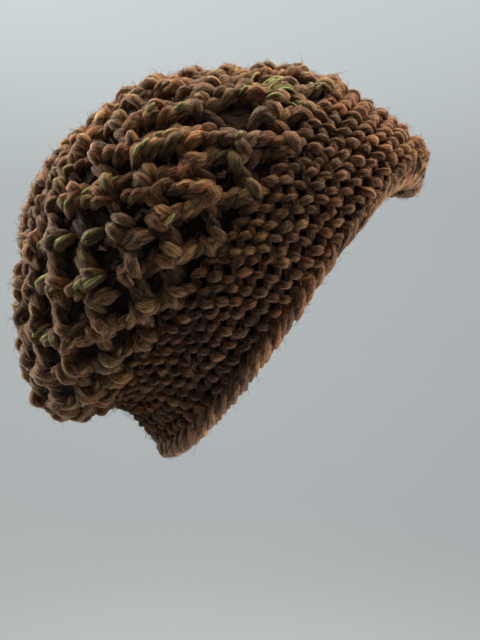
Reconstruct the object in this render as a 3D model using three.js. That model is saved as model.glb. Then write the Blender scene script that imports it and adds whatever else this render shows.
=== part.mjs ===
// A slouchy beanie crocheted in thick yarn, in the form it takes when it is worn tilted back.
// Millimetres, +Z up, +X towards the brow, +Y towards the wearer's left.
// The origin is the middle of the head opening.
import * as THREE from 'three';

// Where each round of the fabric crosses the side plane, at the brow and at the nape,
// how wide it is to each side, how far it lifts beside the brow, and how many degrees
// its side stitches slide towards the nape, or towards the brow where that is negative.
// Row 0 is the rim, row 4 the top of the band and row 12 the centre of the crown.
const SECTIONS = [
  { browX: 76, browZ: 77, napeX: -75, napeZ: -80, halfWidth: 76, browLift: 50, slide: -5 },
  { browX: 80, browZ: 96, napeX: -85, napeZ: -67, halfWidth: 80, browLift: 28, slide: 0 },
  { browX: 63, browZ: 112, napeX: -93, napeZ: -57, halfWidth: 84, browLift: 12, slide: 0 },
  { browX: 45, browZ: 124, napeX: -101, napeZ: -52, halfWidth: 86, browLift: 4, slide: -1 },
  { browX: 25, browZ: 136, napeX: -111, napeZ: -53, halfWidth: 86, browLift: 0, slide: -3 },
  { browX: 0, browZ: 143, napeX: -127, napeZ: -59, halfWidth: 88, browLift: 0, slide: -7 },
  { browX: -27, browZ: 142, napeX: -144, napeZ: -52, halfWidth: 87, browLift: 0, slide: -10 },
  { browX: -54, browZ: 141, napeX: -152, napeZ: -31, halfWidth: 82, browLift: 0, slide: -12 },
  { browX: -78, browZ: 134, napeX: -154, napeZ: -5, halfWidth: 73, browLift: 0, slide: -13 },
  { browX: -98, browZ: 122, napeX: -154, napeZ: 21, halfWidth: 58, browLift: 0, slide: -13 },
  { browX: -116, browZ: 108, napeX: -152, napeZ: 46, halfWidth: 40, browLift: 0, slide: -12 },
  { browX: -130, browZ: 94, napeX: -149, napeZ: 66, halfWidth: 20, browLift: 0, slide: -12 },
  { browX: -142, browZ: 80, napeX: -142, napeZ: 80, halfWidth: 0, browLift: 0, slide: -12 },
];
const LAST_ROW = SECTIONS.length - 1;

// How much fuller than an ellipse each ring is between the brow and the sides.
const RING_FULLNESS = 0.085;

// How softly the rim bends where it dips over the brow.
const BROW_ROUNDING = 0.25;

// The rows where one kind of stitches ends and the next begins, with a small gap between.
const EDGING_TOP = 0.42;
const BAND_TOP = 4;
const CROWN_TOP = 11.1;
const STARTING_RING = 11.84;
const ROW_GAP = 0.036;
const EDGING_GAP = 0.058;

// The crown's net of legs and knots. Every second round of pockets is cut through, the rest are dents.
const COLUMNS = 72;
const NET_ROUNDS = 10;
const NET_HEIGHT = (CROWN_TOP - BAND_TOP) / NET_ROUNDS;
const POCKET_ROUNDS = [
  { netRound: 1, pockets: 24 },
  { netRound: 3, pockets: 24 },
  { netRound: 5, pockets: 24 },
  { netRound: 7, pockets: 18 },
];
const POCKET_REACH = 0.62;
const POCKET_CORNER_SCALE = 0.7;
const FIRST_CLOSED_ROUND = 8;

// Fabric heights in millimetres, measured out from the sections.
const CROWN_INSIDE = -5;
const CROWN_EDGE = 0;
const CROWN_KNOT = 2.5;
const CROWN_DENT = -2.5;
const CROWN_LEG = 0;
const BESIDE_POCKET = 1.5;
const ABOVE_POCKET = 0.5;
const BAND_INSIDE = -6;
const BAND_RIBS = 9;
const RIB_CREST = 0.9;
const RIB_VALLEY = -1.4;
const BAND_INSIDE_ROWS = 4;
const SCALLOPS = 72;
const SCALLOP_DEPTH = 1.1;
const CENTRE_CREST = 1.5;
const CENTRE_COLUMNS = 36;

// Catmull-Rom curve through one column of the section table.
function alongRows(column, row) {
  const start = Math.min(Math.floor(row), LAST_ROW - 1);
  const t = row - start;
  const value = (index) => SECTIONS[THREE.MathUtils.clamp(index, 0, LAST_ROW)][column];
  const [before, from, to, after] = [-1, 0, 1, 2].map((step) => value(start + step));
  const slopeIn = (to - before) / 2;
  const slopeOut = (after - from) / 2;
  const t2 = t * t;
  const t3 = t2 * t;
  return (2 * t3 - 3 * t2 + 1) * from + (t3 - 2 * t2 + t) * slopeIn
    + (3 * t2 - 2 * t3) * to + (t3 - t2) * slopeOut;
}

// A point of the outer fabric: row from rim to crown centre, turn 0 at the brow and a quarter on the left.
// The turns are spread so that stitches lie evenly along a long ring.
function sectionPoint(row, turn) {
  const brow = new THREE.Vector3(alongRows('browX', row), 0, alongRows('browZ', row));
  const nape = new THREE.Vector3(alongRows('napeX', row), 0, alongRows('napeZ', row));
  const half = brow.clone().sub(nape).divideScalar(2);
  const halfLength = half.length();
  const halfWidth = alongRows('halfWidth', row);
  const evenness = (halfLength - halfWidth) / (halfLength + halfWidth) / 2;
  const slide = THREE.MathUtils.degToRad(alongRows('slide', row));
  const even = turn * 2 * Math.PI;
  const angle = even + evenness * Math.sin(2 * even) + slide * Math.sin(even);
  const cos = Math.cos(angle);
  const sin = Math.sin(angle);
  const across = cos * (1 + RING_FULLNESS * sin ** 2);
  const sideways = sin * (1 + RING_FULLNESS * cos ** 2);
  const towardsCrown = new THREE.Vector3(-half.z, 0, half.x).divideScalar(halfLength);
  const besideBrow = (Math.hypot(sin, BROW_ROUNDING) - BROW_ROUNDING) * ((1 + cos) / 2) ** 2;
  const lift = alongRows('browLift', row) * besideBrow;
  return brow.add(nape).divideScalar(2)
    .addScaledVector(half, across)
    .addScaledVector(towardsCrown, lift)
    .add(new THREE.Vector3(0, halfWidth * sideways, 0));
}

// The same point moved out of the fabric along its normal, or in where height is negative.
function fabricPoint(row, turn, height) {
  const rowStep = 0.02;
  const turnStep = 0.002;
  const low = Math.max(row - rowStep, 0);
  const high = Math.min(row + rowStep, LAST_ROW - rowStep);
  const alongWale = sectionPoint(high, turn).sub(sectionPoint(low, turn));
  const alongRound = sectionPoint(row, turn + turnStep).sub(sectionPoint(row, turn - turnStep));
  const normal = alongRound.cross(alongWale).normalize();
  return sectionPoint(row, turn).addScaledVector(normal, height);
}

// A closed mesh from a list of points and a list of triangles.
function closedGeometry(points, triangles) {
  const geometry = new THREE.BufferGeometry();
  geometry.setAttribute('position', new THREE.Float32BufferAttribute(points.flatMap((p) => p.toArray()), 3));
  geometry.setIndex(triangles.flat());
  geometry.computeVertexNormals();
  return geometry;
}

// The two triangles of a four-cornered face, split along its shorter diagonal.
function splitFace(points, a, b, c, d) {
  const firstDiagonal = points[a].distanceTo(points[c]);
  const secondDiagonal = points[b].distanceTo(points[d]);
  return firstDiagonal < secondDiagonal ? [[a, b, c], [a, c, d]] : [[a, b, d], [b, c, d]];
}

// A ring of fabric whose cross-section is a closed loop of [row, height, joined], one loop for each column.
// The loop runs up the outside and back down the inside. A joined corner of an odd column lies midway
// between its neighbours, so that the edge runs along that of a piece with half the columns.
function ringOfLoops(columns, loopAt) {
  const points = [];
  const triangles = [];
  const size = loopAt(0).length;
  for (let column = 0; column < columns; column += 1) {
    loopAt(column).forEach(([row, height, joined]) => {
      const spread = joined && column % 2 === 1 ? 1 : 0;
      const before = fabricPoint(row, (column - spread) / columns, height);
      const after = fabricPoint(row, (column + spread) / columns, height);
      points.push(before.lerp(after, 0.5));
    });
  }
  for (let column = 0; column < columns; column += 1) {
    const here = column * size;
    const next = ((column + 1) % columns) * size;
    for (let side = 0; side < size; side += 1) {
      const other = (side + 1) % size;
      triangles.push(...splitFace(points, here + side, next + side, next + other, here + other));
    }
  }
  return closedGeometry(points, triangles);
}

function steps(count, from, to) {
  return Array.from({ length: count + 1 }, (unused, index) => THREE.MathUtils.lerp(from, to, index / count));
}

// The edging: a rounded rim with a scallop for each stitch.
function edgingGeometry() {
  const columns = SCALLOPS * 2;
  return ringOfLoops(columns, (column) => {
    const scallop = column % 2 === 0 ? SCALLOP_DEPTH / 2 : -SCALLOP_DEPTH / 2;
    return [
      [0.03 - scallop * 0.03, -3 - scallop],
      [0.13, 0.4 + scallop],
      [EDGING_TOP, RIB_VALLEY, true],
      [EDGING_TOP, BAND_INSIDE, true],
      [0.13, BAND_INSIDE - scallop / 2],
    ];
  });
}

// The band: a rib outside for each round of stitches, smooth inside.
function bandGeometry() {
  const bottom = EDGING_TOP + EDGING_GAP;
  const top = BAND_TOP - ROW_GAP / 2;
  const outside = steps(BAND_RIBS * 2, bottom, top)
    .map((row, index) => [row, index % 2 === 0 ? RIB_VALLEY : RIB_CREST]);
  const inside = steps(BAND_INSIDE_ROWS, top, bottom).map((row) => [row, BAND_INSIDE]);
  return ringOfLoops(COLUMNS, () => [...outside, ...inside]);
}

// The crown centre: a rosette that closes round the starting ring.
function crownCentreGeometry() {
  const bottom = CROWN_TOP + ROW_GAP;
  const outside = steps(4, bottom, STARTING_RING)
    .map((row, index) => [row, index % 2 === 0 ? CROWN_EDGE : CENTRE_CREST]);
  const inside = steps(2, STARTING_RING, bottom).map((row) => [row, CROWN_INSIDE]);
  return ringOfLoops(CENTRE_COLUMNS, () => [...outside, ...inside]);
}

// The rows of the crown's grid: three through each round of pockets, one along the knots between
// two rounds, and alternate crests and hollows where the net draws together.
function crownRows() {
  const rows = [{ at: BAND_TOP + ROW_GAP / 2, height: CROWN_EDGE }];
  POCKET_ROUNDS.forEach(({ netRound, pockets }, index) => {
    if (index > 0) {
      rows.push({ at: BAND_TOP + (netRound - 1) * NET_HEIGHT, knotsFor: pockets });
    }
    [-1, 0, 1].forEach((up) => {
      const at = BAND_TOP + (netRound + up * POCKET_REACH) * NET_HEIGHT;
      rows.push({ at, up, pockets, middle: BAND_TOP + netRound * NET_HEIGHT });
    });
  });
  const closedSteps = (NET_ROUNDS - FIRST_CLOSED_ROUND) * 2;
  steps(closedSteps, BAND_TOP + FIRST_CLOSED_ROUND * NET_HEIGHT, CROWN_TOP)
    .forEach((at, index) => rows.push({ at, height: index % 2 === 0 ? CROWN_KNOT : CROWN_EDGE }));
  rows[rows.length - 1].height = CROWN_EDGE;
  return rows;
}

// A corner of the crown's net: its row, its column and its heights outside and inside.
function crownCorner(row, column) {
  const corner = { row: row.at, column, outside: row.height, inside: CROWN_INSIDE, cut: false };
  if (row.knotsFor) {
    corner.outside = column % (COLUMNS / row.knotsFor) === 0 ? CROWN_KNOT : CROWN_DENT;
  }
  if (!row.pockets) {
    return corner;
  }
  const across = ((column + 1) % (COLUMNS / row.pockets)) - 1;
  if (across > 1) {
    corner.outside = row.up === 0 ? CROWN_KNOT : CROWN_LEG;
    return corner;
  }
  corner.cut = row.up === 0 && across === 0;
  if (row.up !== 0 && across !== 0) {
    corner.row = THREE.MathUtils.lerp(row.middle, row.at, POCKET_CORNER_SCALE);
    corner.column = column + across * (POCKET_CORNER_SCALE - 1);
    corner.outside = CROWN_LEG;
  } else {
    corner.outside = row.up === 0 ? BESIDE_POCKET : ABOVE_POCKET;
  }
  return corner;
}

// The crown: an outer and an inner skin, cut through at each pocket and joined round every edge.
function crownGeometry() {
  const rows = crownRows();
  const columns = Array.from({ length: COLUMNS }, (unused, column) => column);
  const grid = rows.map((row) => columns.map((column) => crownCorner(row, column)));
  const points = [];
  const indexOf = new Map();
  const corner = (rowIndex, column, skin) => {
    const wrapped = column % COLUMNS;
    const key = `${skin} ${rowIndex} ${wrapped}`;
    if (!indexOf.has(key)) {
      const place = grid[rowIndex][wrapped];
      indexOf.set(key, points.length);
      points.push(fabricPoint(place.row, place.column / COLUMNS, place[skin]));
    }
    return indexOf.get(key);
  };
  const isCut = (rowIndex, column) => {
    if (rowIndex < 0 || rowIndex >= rows.length - 1) {
      return true;
    }
    return [[0, 0], [0, 1], [1, 0], [1, 1]].some(([up, across]) =>
      grid[rowIndex + up][(column + across + COLUMNS) % COLUMNS].cut);
  };
  const triangles = [];
  const face = (a, b, c, d) => triangles.push(...splitFace(points, a, b, c, d));
  for (let rowIndex = 0; rowIndex < rows.length - 1; rowIndex += 1) {
    for (let column = 0; column < COLUMNS; column += 1) {
      if (isCut(rowIndex, column)) {
        continue;
      }
      const [above, after] = [rowIndex + 1, column + 1];
      const loop = [[rowIndex, column], [rowIndex, after], [above, after], [above, column]];
      const beyond = [[rowIndex - 1, column], [rowIndex, after], [above, column], [rowIndex, column - 1]];
      const outside = loop.map(([up, across]) => corner(up, across, 'outside'));
      const inside = loop.map(([up, across]) => corner(up, across, 'inside'));
      face(...outside);
      face(...inside.toReversed());
      beyond.forEach(([up, across], side) => {
        if (isCut(up, across)) {
          const next = (side + 1) % 4;
          face(inside[side], inside[next], outside[next], outside[side]);
        }
      });
    }
  }
  return closedGeometry(points, triangles);
}

function piece(name, geometry, colour) {
  const material = new THREE.MeshStandardMaterial({ color: colour, roughness: 0.95, metalness: 0 });
  const mesh = new THREE.Mesh(geometry, material);
  mesh.name = name;
  return mesh;
}

const beanie = new THREE.Group();
beanie.add(piece('edging', edgingGeometry(), 0x5a3a22));
beanie.add(piece('band', bandGeometry(), 0x46291a));
beanie.add(piece('crown', crownGeometry(), 0x4e3020));
beanie.add(piece('crown_centre', crownCentreGeometry(), 0x54371f));

export default beanie;
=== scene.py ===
# A slouchy beanie crocheted in thick variegated yarn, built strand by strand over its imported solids.
import bpy
import math
import numpy as np
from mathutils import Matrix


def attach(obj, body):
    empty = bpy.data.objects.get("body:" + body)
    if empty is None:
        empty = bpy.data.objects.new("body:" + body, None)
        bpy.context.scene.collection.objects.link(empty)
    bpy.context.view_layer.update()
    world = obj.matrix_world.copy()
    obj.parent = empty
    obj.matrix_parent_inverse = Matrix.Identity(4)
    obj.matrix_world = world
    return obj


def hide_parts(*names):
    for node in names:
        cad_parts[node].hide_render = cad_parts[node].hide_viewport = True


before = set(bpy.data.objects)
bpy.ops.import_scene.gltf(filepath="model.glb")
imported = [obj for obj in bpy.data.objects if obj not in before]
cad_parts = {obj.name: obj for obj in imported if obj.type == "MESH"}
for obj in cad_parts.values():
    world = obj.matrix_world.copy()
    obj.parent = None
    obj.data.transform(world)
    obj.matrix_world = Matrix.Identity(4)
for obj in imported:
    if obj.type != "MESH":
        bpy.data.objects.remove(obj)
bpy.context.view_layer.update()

# Lengths are in millimetres until a mesh is made. +Z is up, +X the brow, +Y the wearer's left.
METRES = 0.001
TURN = 2 * math.pi
YARN_UV = "OFBake"

# The fabric's form: where each row crosses the side plane at the brow and at the nape, how wide it is
# to each side, how far it lifts beside the brow, and how its stitches slide round the side, in degrees.
# Row 0 is the rim, row 4 the top of the band and row 12 the centre of the crown.
SECTION_COLUMNS = ("brow_x", "brow_z", "nape_x", "nape_z", "half_width", "brow_lift", "slide")
SECTIONS = np.array([
    (76, 77, -75, -80, 76, 50, -5),
    (80, 96, -85, -67, 80, 28, 0),
    (63, 112, -93, -57, 84, 12, 0),
    (45, 124, -101, -52, 86, 4, -1),
    (25, 136, -111, -53, 86, 0, -3),
    (0, 143, -127, -59, 88, 0, -7),
    (-27, 142, -144, -52, 87, 0, -10),
    (-54, 141, -152, -31, 82, 0, -12),
    (-78, 134, -154, -5, 73, 0, -13),
    (-98, 122, -154, 21, 58, 0, -13),
    (-116, 108, -152, 46, 40, 0, -12),
    (-130, 94, -149, 66, 20, 0, -12),
    (-142, 80, -142, 80, 0, 0, -12),
], dtype=float)
LAST_ROW = len(SECTIONS) - 1
CENTRE_MARGIN = 0.03
RING_FULLNESS = 0.085
BROW_ROUNDING = 0.25

# Rows where one kind of stitch ends and the next begins.
EDGING_TOP = 0.42
BAND_TOP = 4.0
CROWN_TOP = 11.1
STARTING_RING = 11.84

# The crown's net of ropes that cross in knots, in rounds from the top of the band.
NET_ROUNDS = 10
NET_HEIGHT = (CROWN_TOP - BAND_TOP) / NET_ROUNDS
NETS = (
    {"from": 0, "to": 6, "ropes": 24},
    {"from": 6, "to": 8, "ropes": 18},
)


# The form of the fabric

def section_values(row):
    """Catmull-Rom curves through the section table, one value for each column."""
    row = np.clip(row, 0, LAST_ROW - CENTRE_MARGIN)
    start = np.floor(row).astype(int)
    t = (row - start)[..., None]
    before, here, there, after = (SECTIONS[np.clip(start + step, 0, LAST_ROW)] for step in (-1, 0, 1, 2))
    slope_in = (there - before) / 2
    slope_out = (after - here) / 2
    values = (2 * t**3 - 3 * t**2 + 1) * here + (t**3 - 2 * t**2 + t) * slope_in
    values = values + (3 * t**2 - 2 * t**3) * there + (t**3 - t**2) * slope_out
    return dict(zip(SECTION_COLUMNS, np.moveaxis(values, -1, 0)))


def section_point(row, turn):
    """A point of the fabric's outer face, with turn 0 at the brow and a quarter on the wearer's left."""
    row, turn = np.broadcast_arrays(np.asarray(row, float), np.asarray(turn, float))
    section = section_values(row)
    half_x = (section["brow_x"] - section["nape_x"]) / 2
    half_z = (section["brow_z"] - section["nape_z"]) / 2
    half_width = section["half_width"]
    half_length = np.hypot(half_x, half_z)
    evenness = (half_length - half_width) / (half_length + half_width) / 2
    even = turn * TURN
    angle = even + evenness * np.sin(2 * even) + np.radians(section["slide"]) * np.sin(even)
    cos = np.cos(angle)
    sin = np.sin(angle)
    across = cos * (1 + RING_FULLNESS * sin**2)
    sideways = sin * (1 + RING_FULLNESS * cos**2)
    beside_brow = (np.hypot(sin, BROW_ROUNDING) - BROW_ROUNDING) * ((1 + cos) / 2) ** 2
    lift = section["brow_lift"] * beside_brow / half_length
    x = (section["brow_x"] + section["nape_x"]) / 2 + half_x * across - half_z * lift
    z = (section["brow_z"] + section["nape_z"]) / 2 + half_z * across + half_x * lift
    return np.stack((x, half_width * sideways, z), axis=-1)


def unit(vectors):
    """Vectors of the same directions and of length 1."""
    return vectors / np.maximum(np.linalg.norm(vectors, axis=-1, keepdims=True), 1e-9)


def fabric_axes(row, turn):
    """The fabric's steps for one row and for one whole turn, and its outward normal."""
    row_step = 0.02
    turn_step = 0.002
    low = np.clip(row, row_step, LAST_ROW - 4 * row_step) - row_step
    per_row = (section_point(low + 2 * row_step, turn) - section_point(low, turn)) / (2 * row_step)
    ahead = section_point(row, turn + turn_step)
    behind = section_point(row, turn - turn_step)
    per_turn = (ahead - behind) / (2 * turn_step)
    return per_row, per_turn, unit(np.cross(per_turn, per_row))


def fabric(row, turn, height):
    """A point that lies height millimetres out from the fabric's outer face."""
    row, turn, height = np.broadcast_arrays(row, turn, height)
    return section_point(row, turn) + fabric_axes(row, turn)[2] * height[..., None]


def distance_along(points):
    """How far along a line each of its points lies."""
    return np.concatenate(([0], np.cumsum(np.linalg.norm(np.diff(points, axis=0), axis=1))))


def girth(row, steps=96):
    """How long one round of the fabric is at a row."""
    ring = section_point(np.full(steps + 1, row), np.linspace(0, 1, steps + 1))
    return np.linalg.norm(np.diff(ring, axis=0), axis=1).sum()


GIRTH_SAMPLES = 60
GIRTH_ROWS = np.linspace(0, LAST_ROW - 0.05, GIRTH_SAMPLES)
GIRTHS = np.array([girth(row) for row in GIRTH_ROWS])


def girth_of(row):
    """The girth at any row, read between the rows where it was measured."""
    return np.interp(row, GIRTH_ROWS, GIRTHS)


def wander(row, turn, seed, waves=6):
    """A smooth seeded unevenness of about -1 to 1, the same after a whole turn."""
    rng = np.random.default_rng(seed)
    total = 0
    for wave in range(waves):
        around = rng.integers(1, 4 + 3 * wave)
        up = rng.uniform(-1, 1) * (1 + wave)
        total = total + np.sin(TURN * (turn * around + rng.random()) + row * up)
    return total / math.sqrt(waves)


# Strands of yarn

# How far the corners of a strand's section reach, in shares of its radius.
PLIES = np.tile((0.84, 1.05, 1.05), 3)
DEEP_PLIES = np.tile((0.9, 1.08), 3)
FIBRE = np.ones(3)


class Strands:
    """Strands with the same number of points, swept into closed tubes whose section is three soft plies."""

    END_SCALE = 0.45
    PLY_TWIST_LENGTH = 70
    PATTERN_LENGTH = 1000

    def __init__(self, points, out, radius, tint, painted_shade=0.0, flatness=0.92, form=PLIES):
        """Each strand has points with an outward direction, a radius and an amount of painted shade, and one
        tint.
        """
        self.points = points
        self.out = out
        self.radius = np.broadcast_to(radius, points.shape[:2])
        self.tint = tint
        self.painted_shade = np.broadcast_to(painted_shade, points.shape[:2])
        self.flatness = flatness
        self.form = form

    def rings(self, rng):
        """The tubes' vertices, and each vertex's place round and along its yarn."""
        tangent = unit(np.gradient(self.points, axis=1))
        up = unit(self.out - tangent * (self.out * tangent).sum(-1, keepdims=True))
        side = np.cross(tangent, up)
        step = np.linalg.norm(np.diff(self.points, axis=1), axis=-1)
        along = np.concatenate((np.zeros((len(step), 1)), np.cumsum(step, axis=1)), axis=1)
        first_turn = rng.random((len(step), 1))
        face = np.arange(len(self.form)) / len(self.form)
        angle = TURN * (face + (first_turn + along / self.PLY_TWIST_LENGTH)[..., None])
        radius = self.radius.copy()
        radius[:, [0, -1]] *= self.END_SCALE
        reach = radius[..., None] * self.form
        upward = reach * np.cos(angle) * self.flatness
        sideways = reach * np.sin(angle)
        vertices = self.points[:, :, None] + up[:, :, None] * upward[..., None]
        vertices = vertices + side[:, :, None] * sideways[..., None]
        fibre = np.empty(vertices.shape)
        fibre[..., 0] = np.cos(TURN * face)
        fibre[..., 1] = np.sin(TURN * face)
        fibre[..., 2] = (along + self.PATTERN_LENGTH * first_turn)[..., None]
        tint = np.broadcast_to(self.tint[:, None, None], vertices.shape)
        painted_shade = np.broadcast_to(self.painted_shade[..., None], vertices.shape[:-1])
        return vertices, fibre, tint, painted_shade


def tube_faces(strands, points, sides):
    """Corners of all the quads and then of the end caps, with each face's size, for tubes in a row."""
    numbers = (np.arange(strands), np.arange(points - 1), np.arange(sides))
    strand, point, side = np.meshgrid(*numbers, indexing="ij")
    base = (strand * points + point) * sides
    next_side = (side + 1) % sides
    quads = np.stack((base + side, base + next_side, base + sides + next_side, base + sides + side), axis=-1)
    start = np.arange(strands)[:, None] * points * sides + np.arange(sides)
    caps = np.concatenate((start[:, ::-1], start + (points - 1) * sides))
    sizes = np.concatenate((np.full(quads.size // 4, 4), np.full(len(caps), sides)))
    return np.concatenate((quads.ravel(), caps.ravel())), sizes


# Each strand's cell of the yarn map has its caps in a strip at the foot, in shares of the cell.
CELL_MARGIN = 0.05
CAP_STRIP = 0.08
CAP_RADIUS = 0.02


def tube_uvs(cells, points, sides):
    """The map corners of tubes, one cell for each tube: its quads are spread over the cell."""
    side = np.arange(sides)
    point = np.arange(points - 1)[:, None]
    u = np.stack(np.broadcast_arrays(side, side + 1, side + 1, side), axis=-1) / sides
    v = np.stack(np.broadcast_arrays(point, point, point + 1, point + 1), axis=-1) / (points - 1)
    u = CELL_MARGIN + (1 - 2 * CELL_MARGIN) * u
    v = CAP_STRIP + (1 - CAP_STRIP - CELL_MARGIN) * v
    strip = np.stack(np.broadcast_arrays(u, v), axis=-1).reshape(-1, 2)
    angle = TURN * side / sides
    cap = np.stack((0.5 + CAP_RADIUS * np.cos(angle), CAP_STRIP / 2 + CAP_RADIUS * np.sin(angle)), axis=-1)
    quad_uvs = (cells[:, None] + strip).reshape(-1, 2)
    cap_uvs = (np.tile(cells, (2, 1))[:, None] + cap).reshape(-1, 2)
    return np.concatenate((quad_uvs, cap_uvs))


def yarn_piece(name, groups, seed, material, replaced):
    """One piece made of several groups of strands, with what its material reads of the yarn."""
    rng = np.random.default_rng(seed)
    total = sum(len(group.points) for group in groups)
    across = math.ceil(math.sqrt(total))
    parts = {key: [] for key in ("vertices", "fibre", "tint", "painted_shade", "corners", "sizes", "uvs")}
    first = 0
    place = 0
    for group in groups:
        vertices, fibre, tint, painted_shade = group.rings(rng)
        count, points, sides = vertices.shape[:3]
        corners, sizes = tube_faces(count, points, sides)
        cell = place + np.arange(count)
        uvs = tube_uvs(np.stack((cell % across, cell // across), axis=-1), points, sides)
        parts["vertices"].append(vertices.reshape(-1, 3))
        parts["fibre"].append(fibre.reshape(-1, 3))
        parts["tint"].append(tint.reshape(-1, 3))
        parts["painted_shade"].append(painted_shade.ravel())
        parts["corners"].append(corners + first)
        parts["sizes"].append(sizes)
        parts["uvs"].append(uvs / across)
        first += count * points * sides
        place += count
    joined = {key: np.concatenate(values) for key, values in parts.items()}
    piece = smooth_mesh(name, joined["vertices"], joined["corners"], joined["sizes"], joined["uvs"])
    for attribute in ("fibre", "tint", "painted_shade"):
        add_attribute(piece, attribute, joined[attribute])
    finish_piece(piece, material, replaced)


def smooth_mesh(name, vertices, corners, sizes, uvs):
    """A smooth mesh in metres from vertices, the faces' corners in one row, their sizes and map corners."""
    mesh = bpy.data.meshes.new(name)
    mesh.vertices.add(len(vertices))
    mesh.vertices.foreach_set("co", (vertices * METRES).astype(np.float32).ravel())
    mesh.loops.add(len(corners))
    mesh.loops.foreach_set("vertex_index", corners.astype(np.int32))
    mesh.polygons.add(len(sizes))
    mesh.polygons.foreach_set("loop_start", (np.cumsum(sizes) - sizes).astype(np.int32))
    mesh.polygons.foreach_set("use_smooth", np.ones(len(sizes), dtype=bool))
    mesh.update(calc_edges=True)
    uv_layer = mesh.uv_layers.new(name=YARN_UV)
    uv_layer.uv.foreach_set("vector", uvs.astype(np.float32).ravel())
    piece = bpy.data.objects.new(name, mesh)
    bpy.context.scene.collection.objects.link(piece)
    return piece


def add_attribute(piece, name, values):
    """A number or a vector for each vertex, which the yarn's material reads by its name."""
    kind, field = ("FLOAT", "value") if values.ndim == 1 else ("FLOAT_VECTOR", "vector")
    attribute = piece.data.attributes.new(name, kind, "POINT")
    attribute.data.foreach_set(field, values.astype(np.float32).ravel())


def finish_piece(piece, material, replaced):
    """Dress a piece, let it ride on the hat's one body and stand for its solid."""
    piece.data.materials.append(material)
    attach(piece, "root")
    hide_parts(replaced)


# The yarn's tints

# Where thin green plies lie on the nearest rope of the crown, as row and turn.
GREEN_PLACES = np.array([
    (6.1, 0.836), (6.45, 0.812), (5.0, 0.824), (4.75, 0.8), (6.35, 0.782), (6.75, 0.759), (7.05, 0.728),
    (7.15, 0.735), (6.2, 0.735), (6.6, 0.719), (7.5, 0.714), (7.1, 0.693), (7.2, 0.685), (7.4, 0.67),
    (6.7, 0.688), (6.25, 0.695), (6.9, 0.658), (7.0, 0.65), (6.5, 0.662), (6.25, 0.657), (6.7, 0.645),
    (8.3, 0.735), (4.85, 0.893), (4.35, 0.92),
])
ROW_HEIGHT = 16
NEARBY_GREEN = 0.5
NEARBY_AREA = 130
EVEN_WARMTH = 0.5
WARMTH_WANDER = 0.25
WARMTH_SCATTER = 0.08
WARMTH_SEED = 31


def green_share(row, turn):
    """How green the yarn is at a place of the fabric, from the places where green plies show."""
    place_row, place_turn = GREEN_PLACES.T
    up = (np.asarray(row)[..., None] - place_row) * ROW_HEIGHT
    across = ((np.asarray(turn)[..., None] - place_turn + 0.5) % 1 - 0.5) * girth_of(place_row)
    return NEARBY_GREEN * np.exp(-(up**2 + across**2) / NEARBY_AREA).max(axis=-1)


def strand_tint(row, turn, rng):
    """A seed, a green share and a warmth from mauve to rust for each strand."""
    row, turn = np.broadcast_arrays(row, turn)
    warmth = EVEN_WARMTH + WARMTH_WANDER * wander(row, turn, WARMTH_SEED)
    warmth = warmth + WARMTH_SCATTER * rng.standard_normal(row.shape)
    return np.stack((rng.random(row.shape), green_share(row, turn), np.clip(warmth, 0, 1)), axis=-1)


# Lobes: the short arched stretches of yarn that show in a stitch

LOBE_POINTS = 9
DEEP_POINTS = 7
LOBE_END_RADIUS = 0.66
LOBE_SWELL = 0.34

# How far lobes stray from an even row, in shares of the lobe, and in millimetres for the lift.
LENGTH_SCATTER = 0.07
TURN_SCATTER = 0.13
LIFT_SCATTER = 0.35
BOW_SCATTER = 0.10
PLACE_SCATTER = 0.05
RADIUS_SCATTER = 0.07
MOST_SCATTER = 2

# Painted shade: yarn is painted darker from this height, in millimetres from the fabric's face, and over
# this many further in.
PAINTED_SHADE_FROM = -1.2
PAINTED_SHADE_OVER = 4.0

# A stitch's leg, in shares of its cell, and how far its ends dip behind the fabric.
LEG_RISE = 0.95
LEG_REACH = 0.85
LEG_OFFSET = 0.23
LEG_DIP = 4.4


def lobes(row, turn, half, height, radius, rng, dip, roundness=0.75, jitter=1.0, least_painted_shade=0.0,
          form=PLIES, points=LOBE_POINTS):
    """One lobe for each row and turn, reaching half each way, its middle height out and its ends dipped."""
    out = fabric_axes(row, turn)[2]
    scatter = jitter * np.clip(rng.standard_normal((7, len(row), 1)), -MOST_SCATTER, MOST_SCATTER)
    longer, turned, lifted, bowed, aside, ahead, thicker = scatter
    t = np.linspace(-1, 1, points)
    crest = np.cos(t * math.pi / 2)
    side = np.cross(out, unit(half))
    length = np.linalg.norm(half, axis=-1, keepdims=True)
    half = half * (1 + LENGTH_SCATTER * longer) + side * (TURN_SCATTER * length * turned)
    lift = np.reshape(height, (-1, 1)) + LIFT_SCATTER * lifted
    out_by = -dip + (lift + dip) * crest**roundness
    bow = length * (BOW_SCATTER * bowed) * (1 - t**2)
    centre = section_point(row, turn) + side * (PLACE_SCATTER * length * aside)
    centre = centre + unit(half) * (PLACE_SCATTER * length * ahead)
    place = centre[:, None] + half[:, None] * t[:, None]
    place = place + side[:, None] * bow[..., None] + out[:, None] * out_by[..., None]
    thick = np.reshape(radius, (-1, 1)) * (LOBE_END_RADIUS + LOBE_SWELL * crest)
    thick = thick * (1 + RADIUS_SCATTER * thicker)
    # Painted shade: the lobe is painted darker where it dips behind the fabric's face, and never less than
    # its least painted shade.
    painted_shade = np.clip((PAINTED_SHADE_FROM - out_by) / PAINTED_SHADE_OVER, least_painted_shade, 1)
    facing = np.broadcast_to(out[:, None], place.shape)
    return Strands(place, facing, thick, strand_tint(row, turn, rng), painted_shade, form=form)


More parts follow.
